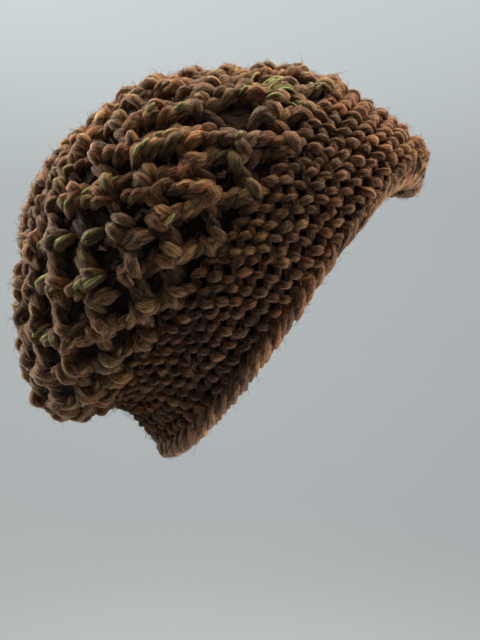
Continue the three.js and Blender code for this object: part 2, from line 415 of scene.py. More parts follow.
def stitch_legs(row, turn, round_height, stitches, lean, height, radius, rng, **settings):
    """A leg of each stitch along the diagonal of its cell: lean is 1 or -1, radius a share of the cell."""
    per_row, per_turn = fabric_axes(row, turn)[:2]
    up = per_row * round_height
    across = per_turn / stitches
    half = (LEG_RISE * up + LEG_REACH * lean * across) / 2
    cell = np.sqrt(np.linalg.norm(up, axis=-1) * np.linalg.norm(across, axis=-1))
    place = turn + lean * LEG_OFFSET / stitches
    return lobes(row, place, half, height, radius * cell, rng, LEG_DIP, **settings)


# The crown's ropes

LEAF_SPACING = 5.2
LEAF_LENGTH = 13.0
LEAF_RADIUS = 2.85
LEAF_SLANT = math.radians(33)
LEAF_FORM = {"dip": 5.5, "roundness": 0.95}
SIZE_SCATTER = 0.12
SLANT_SCATTER = 0.2

# Leaves have their full size where ropes lie this many millimetres apart, and stay between two sizes.
ROPE_SPACING = 23
SMALLEST_LEAF = 0.7
LARGEST_LEAF = 1.05

# For ropes that lean back and forward: their height between knots, and what a knot adds to it.
ROPE_HEIGHTS = {-1: (-1.2, 0.9), 1: (-2.8, -0.6)}
ROPE_ROW_WANDER = 0.06
ROPE_TURN_WANDER = 0.003
ROPE_HEIGHT_WANDER = 0.8
ROPE_ROW_SEED = 21
ROPE_TURN_SEED = 22
ROPE_HEIGHT_SEED = 23

KNOT_LENGTH = 12.0
KNOT_HEIGHT = 0.9
KNOT_STEP = 0.4
KNOT_RISE = 0.05
KNOT_SPREAD = 0.11
KNOT_TWIST = 0.45

# Ridges: ropes that run up the crown on top of the net, as points of row and turn, repeated on both sides.
RIDGES = (
    ((4.7, 0.876), (5.7, 0.869), (6.5, 0.864), (7.5, 0.876)),
    ((6.2, 0.838), (6.9, 0.82), (7.3, 0.8)),
    ((4.1, 0.839), (4.9, 0.824), (5.9, 0.812), (6.7, 0.784), (7.2, 0.774)),
    ((5.1, 0.779), (5.8, 0.769), (6.4, 0.751)),
    ((6.6, 0.74), (7.0, 0.735), (7.5, 0.722)),
    ((5.5, 0.731), (5.95, 0.728), (6.3, 0.72)),
    ((5.5, 0.688), (5.9, 0.683), (6.4, 0.678)),
    ((5.4, 0.657), (5.8, 0.65), (6.4, 0.635)),
)
RIDGE_SPACING = 4.4
RIDGE_SPACING_SCATTER = 0.5
RIDGE_LENGTH = 13.5
RIDGE_RADIUS = 2.7
RIDGE_SLANT = math.radians(35)
RIDGE_SLANT_SCATTER = 0.2
RIDGE_HEIGHT = 0.6
RIDGE_HEIGHT_SEED = 24
RIDGE_FORM = {"dip": 6.0, "roundness": 1.1, "jitter": 1.3}

# Pits: the deepest pockets, as row, turn and half their size in rows and in turns, repeated on both sides.
PITS = np.array([
    (5.15, 0.838, 0.7, 0.011), (6.42, 0.815, 0.3, 0.009), (6.99, 0.713, 0.3, 0.013),
    (6.44, 0.728, 0.2, 0.012), (5.89, 0.745, 0.35, 0.013), (5.91, 0.703, 0.35, 0.011),
    (6.63, 0.676, 0.3, 0.01), (5.5, 0.596, 0.3, 0.013),
])
PIT_DEPTH = 3.0
# Leaves sunk in a pit are painted fully dark as shade.
PIT_PAINTED_SHADE = 1.0
PIT_EDGE = 1.1


def in_pit(row, turn, reach=1.0):
    """True within a pit, or within reach times its size."""
    right_turn = np.maximum(turn % 1, 1 - turn % 1)
    pit_row, pit_turn, half_rows, half_turns = PITS.T
    up = (row[:, None] - pit_row) / half_rows
    across = (right_turn[:, None] - pit_turn) / half_turns
    return (np.hypot(up, across) < reach).any(axis=1)


def crowding(row, net):
    """How much smaller leaves are where a net's ropes come close together."""
    spacing = girth_of(row) / net["ropes"]
    return np.clip(spacing / ROPE_SPACING, SMALLEST_LEAF, LARGEST_LEAF)


def slanted_halves(along, out, slant, length):
    """Half of each leaf, turned by its slant away from the line of its rope."""
    side = np.cross(out, along)
    return (along * np.cos(slant)[:, None] + side * np.sin(slant)[:, None]) * (length / 2)[:, None]


def ridge_leaves(rng, samples=200):
    """Slanted lobes that overlap along each ridge, on both sides of the crown."""
    rows, turns, alongs = [], [], []
    stretch = np.linspace(0, 1, samples)
    for ridge in RIDGES:
        for mirrored in (False, True):
            path_row, path_turn = np.transpose(ridge)
            if mirrored:
                path_turn = 1 - path_turn
            stops = np.linspace(0, 1, len(ridge))
            line_row = np.interp(stretch, stops, path_row)
            line_turn = np.interp(stretch, stops, path_turn)
            points = section_point(line_row, line_turn)
            length = distance_along(points)
            at = np.arange(RIDGE_SPACING / 2, length[-1], RIDGE_SPACING)
            at = at + RIDGE_SPACING_SCATTER * rng.standard_normal(len(at))
            steps = np.gradient(points, axis=0)
            rows.append(np.interp(at, length, line_row))
            turns.append(np.interp(at, length, line_turn))
            alongs.append(unit(np.stack([np.interp(at, length, step) for step in steps.T], axis=-1)))
    row, turn, along = np.concatenate(rows), np.concatenate(turns), np.concatenate(alongs)
    slant = RIDGE_SLANT + RIDGE_SLANT_SCATTER * rng.standard_normal(len(row))
    size = 1 + SIZE_SCATTER * rng.standard_normal(len(row))
    half = slanted_halves(along, fabric_axes(row, turn)[2], slant, RIDGE_LENGTH * size)
    height = RIDGE_HEIGHT + RIDGE_HEIGHT * wander(row, turn, RIDGE_HEIGHT_SEED)
    return lobes(row, turn, half, height, RIDGE_RADIUS * size, rng, **RIDGE_FORM)


def rope_line(net, lean, samples=400):
    """The row and turn of points along one rope, which climbs lean times half a pocket each round."""
    climb = np.linspace(net["from"], net["to"], samples)
    return BAND_TOP + climb * NET_HEIGHT, lean * climb / 2 / net["ropes"]


def rope_leaves(net, lean, rng):
    """Slanted lobes that overlap along each rope. The ropes that lean back lie on top at the knots."""
    line_row, line_turn = rope_line(net, lean)
    rows, turns = [], []
    for rope in range(net["ropes"]):
        turn = line_turn + rope / net["ropes"]
        length = distance_along(section_point(line_row, turn))
        count = int(length[-1] / LEAF_SPACING)
        at = (np.arange(count) + rng.random()) * length[-1] / count
        rows.append(np.interp(at, length, line_row))
        turns.append(np.interp(at, length, turn))
    row = np.concatenate(rows)
    turn = np.concatenate(turns)
    row = row + ROPE_ROW_WANDER * wander(row, turn, ROPE_ROW_SEED)
    turn = turn + ROPE_TURN_WANDER * wander(row, turn, ROPE_TURN_SEED)
    sunk = in_pit(row, turn)
    if lean < 0:
        row, turn, sunk = row[~sunk], turn[~sunk], sunk[~sunk]
    per_row, per_turn, out = fabric_axes(row, turn)
    along = unit(per_row * NET_HEIGHT + per_turn * lean / 2 / net["ropes"])
    slant = LEAF_SLANT * (1 + SLANT_SCATTER * rng.standard_normal(len(row)))
    between_knots, at_knot = ROPE_HEIGHTS[lean]
    height = between_knots + at_knot * np.cos(TURN * (row - BAND_TOP) / NET_HEIGHT)
    height = height + ROPE_HEIGHT_WANDER * wander(row, turn, ROPE_HEIGHT_SEED) - PIT_DEPTH * sunk
    size = crowding(row, net) * (1 + SIZE_SCATTER * rng.standard_normal(len(row)))
    half = slanted_halves(along, out, slant, LEAF_LENGTH * size)
    # Painted shade: leaves sunk in a pit are painted dark.
    least_painted_shade = PIT_PAINTED_SHADE * sunk[:, None]
    return lobes(row, turn, half, height, LEAF_RADIUS * size, rng, least_painted_shade=least_painted_shade, **LEAF_FORM)


def net_places(net, rounds):
    """How far up the net a place is and which rope it is on, for each rope of the given rounds."""
    places = np.meshgrid(np.array(rounds, float), np.arange(net["ropes"], dtype=float), indexing="ij")
    return [values.ravel() for values in places]


def knot_leaves(net, rng):
    """Two lobes that wrap each knot, where two ropes cross."""
    climb, rope = net_places(net, range(net["from"], net["to"]))
    row = BAND_TOP + climb * NET_HEIGHT
    turn = (rope + climb / 2) / net["ropes"]
    kept = ~in_pit(row, turn)
    row, turn = row[kept], turn[kept]
    size = crowding(row, net)
    sunk = PIT_DEPTH * in_pit(row, turn, PIT_EDGE)
    groups = []
    for lean in (-1, 1):
        place_row = row + ROPE_ROW_WANDER * wander(row, turn, ROPE_ROW_SEED) + KNOT_RISE
        place_turn = turn + ROPE_TURN_WANDER * wander(row, turn, ROPE_TURN_SEED)
        place_turn = place_turn + lean * KNOT_SPREAD / net["ropes"]
        per_row, per_turn = fabric_axes(place_row, place_turn)[:2]
        along = unit(unit(per_row) + KNOT_TWIST * rng.standard_normal((len(row), 1)) * unit(per_turn))
        half = along * (KNOT_LENGTH / 2 * size)[:, None]
        height = KNOT_HEIGHT + KNOT_STEP * lean - sunk
        groups.append(lobes(place_row, place_turn, half, height, LEAF_RADIUS * size, rng, **LEAF_FORM))
    return groups


# Webs: strands in the depth of the pockets

# The webs' strands across a pocket, as their place in shares of its width and the way they lean.
WEB_STRANDS = ((-0.22, 1), (0.02, -1), (0.24, 1))
WEB_RISE = 0.52
WEB_REACH = 0.14
WEB_STEP = 0.4
WEB_ROW_SCATTER = 0.03
WEB_FOOT = 0.1
CLOSED_WEBS = {"first": 0, "height": -5.4, "radius": 2.4}
OPEN_WEBS = {"first": 1, "height": -6.4, "radius": 2.2}
CROSSING_REACH = 0.46
CROSSING_RISE_SCATTER = 0.12
CROSSING_ROW_SCATTER = 0.04
CROSSING_HEIGHT = -5.6
CROSSING_RADIUS = 2.8
# Strands in the pockets' depth are painted mostly dark as shade.
DEEP_FORM = {"dip": 7.0, "least_painted_shade": 0.8, "form": DEEP_PLIES, "points": DEEP_POINTS}


def web_leaves(net, first, height, radius, rng):
    """Strands that run up every second round of pockets, from the net's first or second round."""
    climb, rope = net_places(net, range(net["from"] + first, net["to"] + 1, 2))
    groups = []
    for across, lean in WEB_STRANDS:
        row = BAND_TOP + climb * NET_HEIGHT + WEB_ROW_SCATTER * rng.standard_normal(len(climb))
        row = np.maximum(row, BAND_TOP + WEB_FOOT)
        turn = (rope + climb / 2 + 0.5 + across) / net["ropes"]
        per_row, per_turn = fabric_axes(row, turn)[:2]
        half = per_row * NET_HEIGHT * WEB_RISE + per_turn / net["ropes"] * WEB_REACH * lean
        groups.append(lobes(row, turn, half, height + WEB_STEP * lean, radius, rng, **DEEP_FORM))
    return groups


def crossing_leaves(net, rng):
    """One strand across the depth of each open pocket."""
    climb, rope = net_places(net, range(net["from"] + 1, net["to"] + 1, 2))
    row = BAND_TOP + climb * NET_HEIGHT + CROSSING_ROW_SCATTER * rng.standard_normal(len(climb))
    turn = (rope + climb / 2 + 0.5) / net["ropes"]
    per_row, per_turn = fabric_axes(row, turn)[:2]
    rise = rng.normal(0, CROSSING_RISE_SCATTER, (len(row), 1))
    half = per_turn / net["ropes"] * CROSSING_REACH + per_row * NET_HEIGHT * rise
    return lobes(row, turn, half, CROSSING_HEIGHT, CROSSING_RADIUS, rng, **DEEP_FORM)


# Green plies and loose fibres

RANDOM_GREENS = 45
GREEN_PLY_SHARE = 0.33
GREEN_PLY_SPREAD = 0.6
GREEN_PLY_HEIGHT = 0.85
GREEN_PLY_FALL = 0.3

# Longer green plies that arch side by side near the top: row, turn, slant in degrees from the way round
# towards the way up, length, and how many.
GREEN_ARCHES = np.array([
    (5.0, 0.897, -15, 24, 3), (4.7, 0.887, -60, 16, 3), (4.75, 0.873, -70, 12, 2),
    (4.35, 0.874, 70, 9, 1), (4.3, 0.912, 20, 10, 1), (5.4, 0.905, -15, 13, 1),
])
GREEN_ARCH_SPACING = 1.9
GREEN_ARCH_REST = 0.7
GREEN_ARCH_FORM = {"radius": 0.75, "dip": 3.0, "roundness": 0.7, "jitter": 0.6}


def nearest_middle(middles, places):
    """Which of the lobes' middles lies nearest to each place."""
    return np.linalg.norm(middles - places[:, None], axis=-1).argmin(axis=1)


def green_plies(groups, rng):
    """Thin green plies on leaves of the ropes, nearest the listed places and on some more at random."""
    keys = ("points", "out", "radius", "tint")
    points, out, radius, tint = (np.concatenate([getattr(group, key) for group in groups]) for key in keys)
    nearest = nearest_middle(points[:, LOBE_POINTS // 2], section_point(*GREEN_PLACES.T))
    picked = np.concatenate((rng.integers(0, len(points), RANDOM_GREENS), nearest))
    points, out, radius, tint = points[picked], out[picked], radius[picked], tint[picked]
    tint[:, 1] = 1.0
    side = np.cross(unit(np.gradient(points, axis=1)), out)
    beside = rng.uniform(-GREEN_PLY_SPREAD, GREEN_PLY_SPREAD, (len(picked), 1, 1))
    above = GREEN_PLY_HEIGHT - GREEN_PLY_FALL * beside**2
    place = points + (out * above + side * beside) * radius[..., None]
    return Strands(place, out, GREEN_PLY_SHARE * radius, tint)


def green_arches(groups, rng):
    """Thin green plies that arch over the ropes, side by side, at the listed places."""
    middles = np.concatenate([group.points[:, LOBE_POINTS // 2] for group in groups])
    radii = np.concatenate([group.radius[:, LOBE_POINTS // 2] for group in groups])
    counts = GREEN_ARCHES[:, -1].astype(int)
    row, turn, slant, length = np.repeat(GREEN_ARCHES[:, :-1], counts, axis=0).T
    order = np.concatenate([np.arange(count) - (count - 1) / 2 for count in counts])
    per_row, per_turn, out = fabric_axes(row, turn)
    slant = np.radians(slant)[:, None]
    along = unit(unit(per_turn) * np.cos(slant) + unit(per_row) * np.sin(slant))
    beside = np.cross(out, along) * (GREEN_ARCH_SPACING * order)[:, None]
    row = row + (beside * per_row).sum(-1) / (per_row**2).sum(-1)
    turn = turn + (beside * per_turn).sum(-1) / (per_turn**2).sum(-1)
    place = section_point(row, turn)
    nearest = nearest_middle(middles, place)
    height = ((middles[nearest] - place) * out).sum(-1) + GREEN_ARCH_REST * radii[nearest]
    plies = lobes(row, turn, along * (length / 2)[:, None], height, rng=rng, **GREEN_ARCH_FORM)
    plies.tint[:, 1] = 1.0
    return plies


# Loose fibres: their length and radius in millimetres, and how they curl, in shares of their length.
FIBRE_POINTS = 3
FIBRE_LENGTHS = (1.5, 5.4)
FIBRE_LIFTS = (0.3, 1.0)
FIBRE_DROOP = 0.45
FIBRE_LAY = 0.7
FIBRE_CURL = 0.5
FIBRE_RADIUS = 0.16
FIBRE_TAPER = 0.7
FIBRE_ROOT = 0.85
STRAND_ENDS = 2


def loose_fibres(groups, count, rng):
    """Thin fibres that curl away from strands picked at random, but not from the strands' ends."""
    inner = slice(STRAND_ENDS, -STRAND_ENDS)
    tangents = [unit(np.gradient(group.points, axis=1)) for group in groups]
    points = np.concatenate([group.points[:, inner].reshape(-1, 3) for group in groups])
    out = np.concatenate([group.out[:, inner].reshape(-1, 3) for group in groups])
    tangent = np.concatenate([values[:, inner].reshape(-1, 3) for values in tangents])
    radius = np.concatenate([group.radius[:, inner].ravel() for group in groups])
    tint = np.concatenate([np.repeat(group.tint, group.radius[0, inner].size, axis=0) for group in groups])
    picked = rng.integers(0, len(points), count)
    out, tangent = out[picked], tangent[picked]
    side = np.cross(tangent, out)
    roll = rng.normal(0, 1.0, (count, 1))
    rise = unit(out * np.cos(roll) + side * np.sin(roll))
    t = np.linspace(0, 1, FIBRE_POINTS)[:, None]
    length = rng.uniform(*FIBRE_LENGTHS, (count, 1, 1))
    lift = rng.uniform(*FIBRE_LIFTS, (count, 1, 1))
    lay = rng.normal(0, FIBRE_LAY, (count, 1, 1))
    curl = rng.normal(0, FIBRE_CURL, (count, 1, 1))
    path = rise[:, None] * lift * (t - FIBRE_DROOP * t**2) + tangent[:, None] * lay * t
    path = path + side[:, None] * curl * t**2
    start = points[picked] + rise * (radius[picked] * FIBRE_ROOT)[:, None]
    place = start[:, None] + path * length
    thick = FIBRE_RADIUS * (1 - FIBRE_TAPER * t[:, 0]) * np.ones((count, 1))
    facing = np.broadcast_to(side[:, None], place.shape)
    return Strands(place, facing, thick, tint[picked], flatness=1.0, form=FIBRE)


# Walls: the closed fabric behind the lobes

# The walls are painted dark as shade, the outer face fully and the inner face a little less.
OUTER_WALL_PAINTED_SHADE = 1.0
INNER_WALL_PAINTED_SHADE = 0.8
WALL_TINT = (0.3, 0.0, 0.3)
WALL_GRAIN = (3, 600)
WALL_MAP_MARGIN = 0.01


def wall_piece(name, rows, columns, heights, is_open, material, replaced):
    """A closed wall round the hat, with heights for its two faces, cut through where cells are open."""
    row, column = np.meshgrid(rows, np.arange(columns), indexing="ij")
    turn = column / columns
    kept = ~is_open((row[:-1] + row[1:]) / 2, turn[:-1] + 0.5 / columns)
    faces = [fabric(row, turn, height).reshape(-1, 3) for height in heights(row, turn)]
    vertices = np.concatenate(faces)
    index = np.arange(row.size).reshape(row.shape)
    after = np.roll(index, -1, axis=1)
    corners = np.stack((index[:-1], after[:-1], after[1:], index[1:]), axis=-1)
    inside = corners + row.size
    quads = [corners[kept], inside[kept][:, ::-1]]
    padded = np.pad(kept, ((1, 1), (0, 0)))
    neighbours = (padded[:-2], np.roll(kept, -1, axis=1), padded[2:], np.roll(kept, 1, axis=1))
    for side, neighbour in enumerate(neighbours):
        edge = kept & ~neighbour
        start = corners[edge][:, side]
        end = corners[edge][:, (side + 1) % 4]
        quads.append(np.stack((end, start, start + row.size, end + row.size), axis=-1))
    quads = np.concatenate(quads)
    used, places = np.unique(quads, return_inverse=True)
    flat_row = np.tile(row.ravel(), 2)
    flat_turn = np.tile(turn.ravel(), 2)
    wrapped = flat_turn[quads]
    wrapped = np.where(wrapped.max(axis=1, keepdims=True) - wrapped > 0.5, wrapped + 1, wrapped)
    climb = (flat_row[quads] - rows[0]) / (rows[-1] - rows[0])
    inner = quads >= row.size
    u = WALL_MAP_MARGIN + (1 - 3 * WALL_MAP_MARGIN) * wrapped
    v = WALL_MAP_MARGIN + (0.5 - 2 * WALL_MAP_MARGIN) * climb + 0.5 * inner
    uvs = np.stack((u, v), axis=-1).reshape(-1, 2)
    piece = smooth_mesh(name, vertices[used], places.ravel(), np.full(len(quads), 4), uvs)
    row_grain, turn_grain = WALL_GRAIN
    grain = (np.zeros(len(used)), flat_row[used] * row_grain, flat_turn[used] * turn_grain)
    add_attribute(piece, "fibre", np.stack(grain, axis=-1))
    add_attribute(piece, "tint", np.tile(WALL_TINT, (len(used), 1)))
    # Both faces are painted dark as shade.
    add_attribute(piece, "painted_shade", np.where(used < row.size, OUTER_WALL_PAINTED_SHADE, INNER_WALL_PAINTED_SHADE))
    finish_piece(piece, material, replaced)


# Materials

COLOUR = "NodeSocketColor"
VALUE = "NodeSocketFloat"
YARN_COLOURS = ("Dark", "Rust", "Mauve", "Tan", "Olive", "Lime")

# All three are one variegated yarn, and their colours differ partly as painted light: the crown's, its Dark
# too, are lighter than the band's for its lit top and lifted shadows, and the edging's for light bounced up
# onto the rim.
YARNS = {
    "band_yarn": {"Dark": (0.014, 0.009, 0.0082), "Rust": (0.26, 0.078, 0.03), "Mauve": (0.105, 0.05, 0.036),
                  "Tan": (0.58, 0.34, 0.12), "Olive": (0.24, 0.2, 0.05), "Lime": (0.38, 0.46, 0.16),
                  "Bright Share": 0.4},
    "crown_yarn": {"Dark": (0.024, 0.017, 0.0145), "Rust": (0.3, 0.098, 0.036), "Mauve": (0.14, 0.07, 0.044),
                   "Tan": (0.6, 0.38, 0.13), "Olive": (0.32, 0.28, 0.07), "Lime": (0.5, 0.6, 0.2),
                   "Bright Share": 0.48},
    "edging_yarn": {"Dark": (0.025, 0.015, 0.011), "Rust": (0.29, 0.105, 0.047), "Mauve": (0.19, 0.1, 0.072),
                    "Tan": (0.56, 0.33, 0.155), "Olive": (0.28, 0.25, 0.08), "Lime": (0.45, 0.55, 0.15),
                    "Bright Share": 0.42},
}
# Sheen of the yarn in the open, and of its shaded copies for walls and webs, whose sheen is nearly taken
# away so that they render dark as painted shade.
OPEN_FUZZ = 0.42
SHADED_COPY_FUZZ = 0.04
FUZZ_TINT = (1.0, 0.63, 0.41, 1)

# How strongly each effect shows in the yarn's colour, from 0 to 1.
GREEN_STRENGTH = 0.95
SHADOW_STRENGTH = 0.72
DARK_STRAND_STRENGTH = 0.5
GLINT_STRENGTH = 0.45
PAINTED_SHADE_STRENGTH = 0.96


def node(tree, kind, inputs=None, **settings):
    """A node with its settings, whose named or numbered inputs are values or other nodes' outputs."""
    made = tree.nodes.new(kind)
    for key, value in settings.items():
        setattr(made, key, value)
    for key, value in (inputs or {}).items():
        if isinstance(value, bpy.types.NodeSocket):
            tree.links.new(value, made.inputs[key])
        else:
            made.inputs[key].default_value = value
    return made


def mix(tree, factor, first, second):
    """A colour between two colours. The mix node numbers its inputs for colours 6 and 7."""
    return node(tree, "ShaderNodeMix", {0: factor, 6: first, 7: second}, data_type="RGBA").outputs[2]


def maths(tree, operation, *values):
    """The result of a sum on values or other nodes' outputs."""
    return node(tree, "ShaderNodeMath", dict(enumerate(values)), operation=operation).outputs[0]


def stretched(tree, value, middle, by, onto):
    """How far a value is from its middle, times by, added onto another value."""
    return maths(tree, "MULTIPLY_ADD", maths(tree, "SUBTRACT", value, middle), by, onto)


def smooth_range(tree, value, low, high):
    """0 below low and 1 above high, eased between."""
    inputs = {"Value": value, "From Min": low, "From Max": high}
    return node(tree, "ShaderNodeMapRange", inputs, interpolation_type="SMOOTHSTEP").outputs["Result"]


def mask(tree, value, low, high, strength):
    """0 below low and the strength above high, eased between."""
    return maths(tree, "MULTIPLY", smooth_range(tree, value, low, high), strength)


def shader_group(name, inputs, outputs):
    """An empty node group with named sockets, each (name, socket type, default or None)."""
    group = bpy.data.node_groups.new(name, "ShaderNodeTree")
    for direction, sockets in (("INPUT", inputs), ("OUTPUT", outputs)):
        for socket_name, socket_type, default in sockets:
            socket = group.interface.new_socket(socket_name, in_out=direction, socket_type=socket_type)
            if default is not None:
                socket.default_value = default
    return group, group.nodes.new("NodeGroupInput").outputs, group.nodes.new("NodeGroupOutput").inputs


def noise(tree, inputs, dimensions, detail, roughness=0.65):
    """Noise from 0 to 1 in one or four dimensions, whose size the given place sets."""
    inputs = {"Scale": 1.0, "Detail": detail, "Roughness": roughness, **inputs}
    return node(tree, "ShaderNodeTexNoise", inputs, noise_dimensions=dimensions).outputs[0]


def streaks_of(tree, fibre, seed, round_scale, along_scale, detail, roughness):
    """Noise that is drawn out along the yarn, with one scale round it and one along it."""
    scale = (round_scale, round_scale, along_scale)
    place = node(tree, "ShaderNodeVectorMath", {0: fibre, 1: scale}, operation="MULTIPLY").outputs[0]
    return noise(tree, {"Vector": place, "W": seed}, "4D", detail, roughness)


def variegated_yarn_group():
    """Brown plies with fine streaks along them, one ply of three running from rust through tan to green."""
    inputs = [(name, COLOUR, None) for name in YARN_COLOURS]
    inputs += [("Bright Share", VALUE, 0.4), ("Shade Length", VALUE, 30.0)]
    outputs = [("Color", COLOUR, None), ("Height", VALUE, None)]
    group, given, result = shader_group("variegated_yarn", inputs, outputs)
    fibre = node(group, "ShaderNodeAttribute", attribute_name="fibre").outputs["Vector"]
    tint = node(group, "ShaderNodeAttribute", attribute_name="tint").outputs["Vector"]
    painted_shade = node(group, "ShaderNodeAttribute", attribute_name="painted_shade").outputs["Fac"]
    place = node(group, "ShaderNodeSeparateXYZ", {0: fibre}).outputs
    tints = node(group, "ShaderNodeSeparateXYZ", {0: tint}).outputs
    seed = maths(group, "MULTIPLY", tints["X"], 97.0)

    # Shades that change every few centimetres along the yarn.
    along = maths(group, "ADD", maths(group, "DIVIDE", place["Z"], given["Shade Length"]), seed)
    shade = noise(group, {"W": along}, "1D", 1.5)
    bright_shade = noise(group, {"W": maths(group, "ADD", along, 31.0)}, "1D", 1.0)

    # Streaks that run along the yarn, from broad to fine.
    broad = streaks_of(group, fibre, seed, 1.1, 0.07, 3.0, 0.65)
    blend = streaks_of(group, fibre, maths(group, "ADD", seed, 7.0), 2.0, 0.09, 3.0, 0.65)
    streaks = streaks_of(group, fibre, seed, 3.2, 0.16, 2.0, 0.7)
    fine = streaks_of(group, fibre, seed, 7.0, 0.45, 2.0, 0.7)

    # Brown plies between mauve and rust, with dark patches.
    warmth = stretched(group, shade, 0.5, 0.6, tints["Z"])
    warmth = stretched(group, blend, 0.5, 2.4, warmth)
    brown = mix(group, smooth_range(group, warmth, 0.25, 0.75), given["Mauve"], given["Rust"])
    brown = mix(group, smooth_range(group, broad, 0.54, 0.36), brown, given["Dark"])

    # The bright ply, which runs from tan through olive to lime.
    ply = stretched(group, broad, 0.5, 2.2, place["X"])
    share = maths(group, "MULTIPLY", given["Bright Share"], smooth_range(group, bright_shade, 0.36, 0.62))
    share = maths(group, "MULTIPLY", share, smooth_range(group, ply, 0.1, 0.8))
    share = maths(group, "MAXIMUM", share, mask(group, tints["Y"], 0.6, 0.9, GREEN_STRENGTH))
    greenness = stretched(group, blend, 0.5, 1.6, tints["Y"])
    green = mix(group, smooth_range(group, greenness, 0.6, 1.05), given["Olive"], given["Lime"])
    bright = mix(group, smooth_range(group, greenness, 0.15, 0.4), given["Tan"], green)
    colour = mix(group, share, brown, bright)

    # Dark streaks, whole dark strands, bright glints, and painted shade where the yarn lies deep between the
    # stitches.
    colour = mix(group, mask(group, streaks, 0.56, 0.45, SHADOW_STRENGTH), colour, given["Dark"])
    dark_strand = mask(group, tints["X"], 0.35, 0.0, DARK_STRAND_STRENGTH)
    colour = mix(group, dark_strand, colour, given["Dark"])
    colour = mix(group, mask(group, fine, 0.55, 0.66, GLINT_STRENGTH), colour, bright)
    colour = mix(group, maths(group, "MULTIPLY", painted_shade, PAINTED_SHADE_STRENGTH), colour, given["Dark"])
    group.links.new(colour, result["Color"])
    height = maths(group, "MULTIPLY_ADD", streaks, 0.7, maths(group, "MULTIPLY", fine, 0.45))
    group.links.new(height, result["Height"])
    return group


def yarn_material(name, group, values, fuzz):
    """Woolly yarn: soft, rough and, with more fuzz, slightly bright at its edges."""
    material = bpy.data.materials.new(name)
    material.use_nodes = True
    tree = material.node_tree
    tree.nodes.clear()
    yarn = tree.nodes.new("ShaderNodeGroup")
    yarn.node_tree = group
    for key, value in values.items():
        yarn.inputs[key].default_value = (*value, 1) if isinstance(value, tuple) else value
    relief = {"Height": yarn.outputs["Height"], "Strength": 1.0, "Distance": 0.0016}
    bump = node(tree, "ShaderNodeBump", relief)
    skin = node(tree, "ShaderNodeBsdfPrincipled", {
        "Base Color": yarn.outputs["Color"], "Roughness": 0.92, "Normal": bump.outputs[0],
        "Specular IOR Level": 0.1, "Sheen Weight": fuzz, "Sheen Roughness": 0.5, "Sheen Tint": FUZZ_TINT,
    })
    node(tree, "ShaderNodeOutputMaterial", {"Surface": skin.outputs[0]})
    return material


def plain_material(name, colour, roughness):
    """One colour, for the stage alone."""
    material = bpy.data.materials.new(name)
    material.use_nodes = True
    skin = material.node_tree.nodes["Principled BSDF"]
    skin.inputs["Base Color"].default_value = (*colour, 1)
    skin.inputs["Roughness"].default_value = roughness
    return material


# The edging

EDGING_STITCHES = 72
EDGING_SLANT = 1.5
EDGING_SLANT_SCATTER = 0.15
EDGING_SCATTER = 0.06
EDGING_OUT_SCATTER = 0.3
EDGING_END_RADIUS = 0.7
EDGING_SWELL = 0.3
EDGING_RADIUS_SCATTER = 0.05
EDGING_CENTRE_OUT = -3.2
EDGING_CENTRE_UP = 3.0
EDGING_TOP_FACING = 0.3

# The edging's path in a section of the rim: millimetres up from the rim, and out from the fabric's face.
EDGING_PATH = np.array([
    (6.4, -4.4), (5.8, -1.3), (4.2, 0.3), (2.2, 0.7), (0.2, 0.2), (-1.5, -1.2),
    (-2.0, -3.3), (-1.0, -5.3), (1.0, -6.3), (3.2, -6.4), (5.0, -5.0),
])


def edging_lobes(turn, radius, wider, rng):
    """Long slanted stitches that wrap round the rim, on a path that is wider by a share of its width."""
    row = np.zeros(len(turn))
    per_row, per_turn, out = fabric_axes(row, turn)
    up = unit(per_row)
    across = unit(per_turn)
    path_up, path_out = EDGING_PATH.T
    taller, pushed, slid = rng.standard_normal((3, len(turn), 1))
    lift = path_up * (1 + EDGING_SCATTER * taller)
    out_by = EDGING_CENTRE_OUT + (path_out - EDGING_CENTRE_OUT) * (1 + wider) + EDGING_OUT_SCATTER * pushed
    slide = EDGING_SLANT * (1 + EDGING_SLANT_SCATTER * slid) * path_up
    place = section_point(row, turn)[:, None] + up[:, None] * lift[..., None]
    place = place + out[:, None] * out_by[..., None] + across[:, None] * slide[..., None]
    facing = out[:, None] * (path_out - EDGING_CENTRE_OUT)[:, None]
    facing = unit(facing + up[:, None] * (path_up - EDGING_CENTRE_UP)[:, None] * EDGING_TOP_FACING)
    swell = np.sin(math.pi * np.linspace(0, 1, len(path_up)))
    thick = radius * (EDGING_END_RADIUS + EDGING_SWELL * swell) * (1 + EDGING_RADIUS_SCATTER * taller)
    return Strands(place, facing, thick, strand_tint(row, turn, rng))


def add_edging(material):
    """Slanted stitches round the rim, with slimmer ones between them, and their fuzz."""
    rng = np.random.default_rng(12)
    turn = np.arange(EDGING_STITCHES) / EDGING_STITCHES
    between = turn + 0.5 / EDGING_STITCHES
    groups = [edging_lobes(turn, 2.9, 0.0, rng), edging_lobes(between, 2.6, -0.25, rng)]
    fibres = [loose_fibres(groups, 1800, rng)]
    for name, strands, seed in (("edging_stitches", groups, 13), ("edging_fibres", fibres, 17)):
        yarn_piece(name, strands, seed, material, "edging")


# The band

BAND_ROUNDS = 9
BAND_STITCHES = 84
BAND_ROUND_HEIGHT = (BAND_TOP - EDGING_TOP) / BAND_ROUNDS
BAND_ROW_WANDER = 0.05
BAND_TURN_WANDER = 0.0018
BAND_FIBRES = 7000

# The two legs of a band stitch: the one behind, painted partly dark as shade, and the one in front, which
# looks like a bead.
BAND_LEGS = (
    {"lean": 1, "height": -1.9, "radius": 0.34, "jitter": 1.3, "least_painted_shade": 0.35,
     "form": DEEP_PLIES, "points": DEEP_POINTS},
    {"lean": -1, "height": -0.5, "radius": 0.335, "jitter": 1.6, "roundness": 1.25},
)


